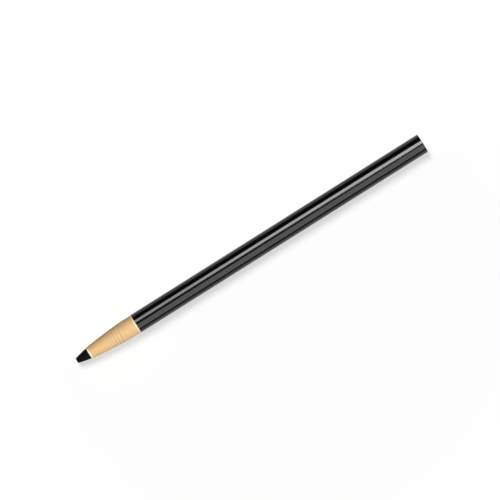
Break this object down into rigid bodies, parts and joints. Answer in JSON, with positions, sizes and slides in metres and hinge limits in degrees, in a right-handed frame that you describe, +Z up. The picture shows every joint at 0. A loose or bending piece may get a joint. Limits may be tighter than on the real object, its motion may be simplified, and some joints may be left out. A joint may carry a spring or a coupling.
{
  "type": "china marker",
  "caption": "Peel-off china marker: black wax core in rolled kraft paper slit into peel strips, bullet-shaped bare front, black cover wrap with a pull string under it.",
  "frame": {"origin": "under the middle of the length, on the surface that the barrel lies on", "axes": "+X along the axis towards the butt end, with the point towards -X; +Z up"},
  "size_m": [0.1778, 0.009, 0.0089],
  "materials": {
    "wax": "satin",
    "kraft": "matte",
    "string": "matte",
    "cover": "gloss"
  },
  "bodies": {
    "barrel": {"wax_core": "wax", "peel_strip_04": "kraft", "peel_strip_05": "kraft", "peel_strip_06": "kraft", "peel_strip_07": "kraft", "peel_strip_08": "kraft", "peel_strip_09": "kraft", "peel_strip_10": "kraft", "peel_strip_11": "kraft", "peel_strip_12": "kraft", "peel_strip_13": "kraft", "peel_strip_14": "kraft", "peel_strip_15": "kraft", "peel_strip_16": "kraft", "peel_strip_17": "kraft", "pull_string": "string", "cover_wrap": "cover"},
    "third_strip": {"peel_strip_03": "kraft"},
    "second_strip": {"peel_strip_02": "kraft"},
    "first_strip": {"peel_strip_01": "kraft"}
  },
  "joints": [
    {"name": "third_strip_peel", "type": "slide", "parent": "barrel", "child": "third_strip", "axis": [-1, 0, 0], "range_m": [0, 0.032]},
    {"name": "second_strip_peel", "type": "slide", "parent": "third_strip", "child": "second_strip", "axis": [-1, 0, 0], "range_m": [0, 0.024]},
    {"name": "first_strip_peel", "type": "slide", "parent": "second_strip", "child": "first_strip", "axis": [-1, 0, 0], "range_m": [0, 0.016]}
  ]
}
